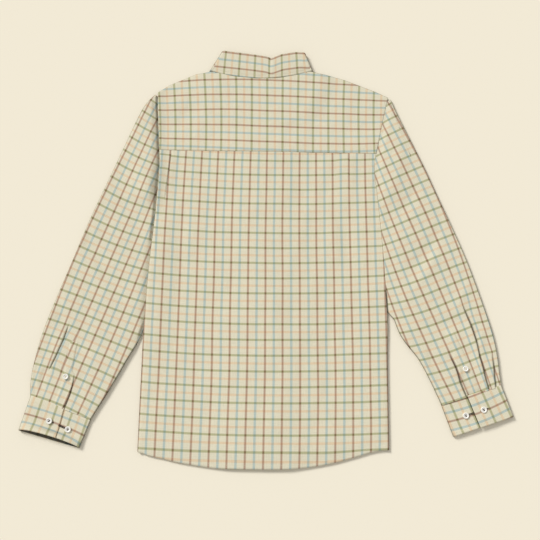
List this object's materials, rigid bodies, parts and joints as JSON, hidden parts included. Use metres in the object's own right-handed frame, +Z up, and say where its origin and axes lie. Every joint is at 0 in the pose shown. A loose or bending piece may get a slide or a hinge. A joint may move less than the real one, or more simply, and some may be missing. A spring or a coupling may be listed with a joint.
{
  "type": "checked cotton shirt laid flat, back upwards",
  "caption": "Long-sleeved collared shirt in a fine coloured check, laid flat on its front to show the back yoke, pleats and buttoned cuffs.",
  "frame": {"origin": "middle of the garment's footprint, on the surface that it lies on", "axes": "+X across from the wearer's left cuff to the right cuff, +Y from the hem to the collar, +Z up from the surface, out of the back"},
  "size_m": [0.8982, 0.8132, 0.0107],
  "materials": {
    "checked_cotton": "matte plain-weave cotton, cream ground with a fine brown, blue, olive and orange check",
    "button_white": "semi-gloss white four-hole buttons"
  },
  "bodies": {
    "root": {"back": "checked_cotton", "yoke": "checked_cotton", "front_left": "checked_cotton", "front_right": "checked_cotton", "collar_stand": "checked_cotton", "collar_leaf": "checked_cotton", "sleeve_left": "checked_cotton", "sleeve_right": "checked_cotton", "placket_left": "checked_cotton", "placket_right": "checked_cotton", "cuff_left": "checked_cotton", "cuff_right": "checked_cotton", "cuff_button_left_outer": "button_white", "cuff_button_left_inner": "button_white", "cuff_button_right_outer": "button_white", "cuff_button_right_inner": "button_white", "placket_button_left": "button_white", "placket_button_right": "button_white", "collar_button": "button_white", "front_button_1": "button_white", "front_button_2": "button_white", "front_button_3": "button_white", "front_button_4": "button_white", "front_button_5": "button_white", "front_button_6": "button_white", "front_button_7": "button_white"}
  },
  "joints": []
}
